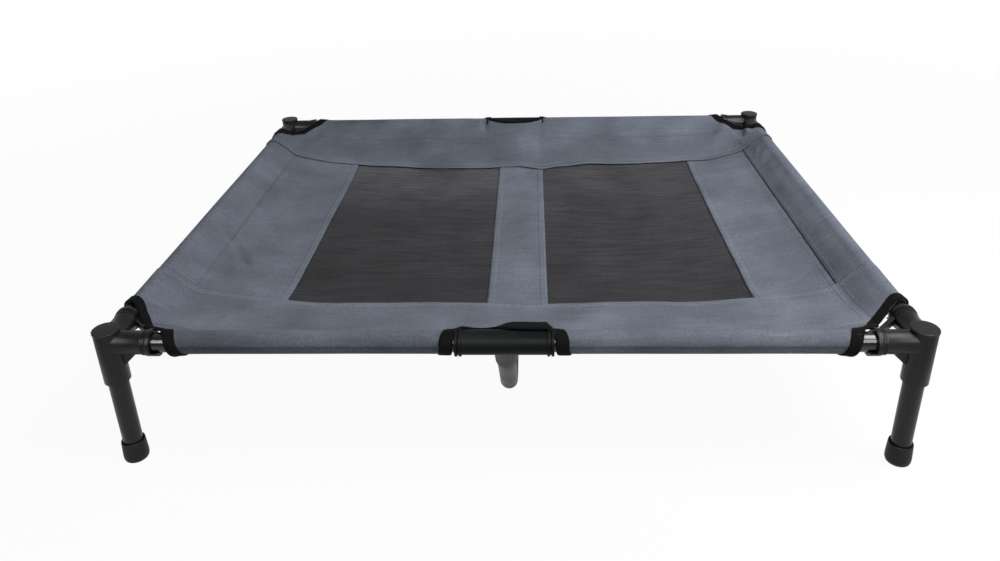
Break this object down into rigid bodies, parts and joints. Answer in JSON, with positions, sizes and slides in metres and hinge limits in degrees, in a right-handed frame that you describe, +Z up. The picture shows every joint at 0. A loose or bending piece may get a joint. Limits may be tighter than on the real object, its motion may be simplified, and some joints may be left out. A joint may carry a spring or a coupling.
{
  "type": "raised dog cot",
  "caption": "Low raised pet bed: canvas and mesh sling mat hung by edge pockets on a push-fit frame of black steel tube with moulded corner fittings and rubber-footed legs.",
  "frame": {"origin": "on the floor, below the middle of the cot's bounding box", "axes": "+X to the right along the longer side, +Y to the rear, +Z up"},
  "size_m": [0.913, 0.761, 0.178],
  "materials": {
    "fitting": "black moulded plastic with a fine satin grain",
    "cap": "black moulded plastic, slightly polished on top",
    "leg_tube": "gloss black powder-coated steel tube",
    "foot": "matte black moulded rubber",
    "frame_tube": "gloss black powder-coated steel tube",
    "canvas": "blue-grey coated woven polyester canvas",
    "mesh": "dark grey coated open-weave mesh",
    "tape": "black woven binding tape with a fine rib"
  },
  "bodies": {
    "cot": {"corner_joint_front_left": "fitting", "corner_joint_front_right": "fitting", "corner_joint_rear_left": "fitting", "corner_joint_rear_right": "fitting", "coupler_front": "fitting", "coupler_rear": "fitting", "post_cap_front_left": "cap", "post_cap_front_right": "cap", "post_cap_rear_left": "cap", "post_cap_rear_right": "cap", "rail_front_left": "frame_tube", "rail_front_right": "frame_tube", "rail_rear_left": "frame_tube", "rail_rear_right": "frame_tube", "rail_side_left": "frame_tube", "rail_side_right": "frame_tube", "centre_support_bar": "frame_tube", "front_band": "canvas", "rear_band": "canvas", "side_band_left": "canvas", "side_band_right": "canvas", "centre_strip": "canvas", "pocket_front_left": "canvas", "pocket_front_right": "canvas", "pocket_rear_left": "canvas", "pocket_rear_right": "canvas", "pocket_side_left": "canvas", "pocket_side_right": "canvas", "mesh_panel_left": "mesh", "mesh_panel_right": "mesh", "corner_tape_front_left": "tape", "corner_tape_front_right": "tape", "corner_tape_rear_left": "tape", "corner_tape_rear_right": "tape", "coupler_tape_front": "tape", "coupler_tape_rear": "tape"},
    "leg_front_left": {"leg_front_left": "leg_tube", "foot_front_left": "foot"},
    "leg_front_right": {"leg_front_right": "leg_tube", "foot_front_right": "foot"},
    "leg_rear_left": {"leg_rear_left": "leg_tube", "foot_rear_left": "foot"},
    "leg_rear_right": {"leg_rear_right": "leg_tube", "foot_rear_right": "foot"}
  },
  "joints": [
    {"name": "leg_front_left_pull_out", "type": "slide", "parent": "cot", "child": "leg_front_left", "axis": [0, 0, -1], "range_m": [0, 0.05]},
    {"name": "leg_front_right_pull_out", "type": "slide", "parent": "cot", "child": "leg_front_right", "axis": [0, 0, -1], "range_m": [0, 0.05]},
    {"name": "leg_rear_left_pull_out", "type": "slide", "parent": "cot", "child": "leg_rear_left", "axis": [0, 0, -1], "range_m": [0, 0.05]},
    {"name": "leg_rear_right_pull_out", "type": "slide", "parent": "cot", "child": "leg_rear_right", "axis": [0, 0, -1], "range_m": [0, 0.05]}
  ]
}
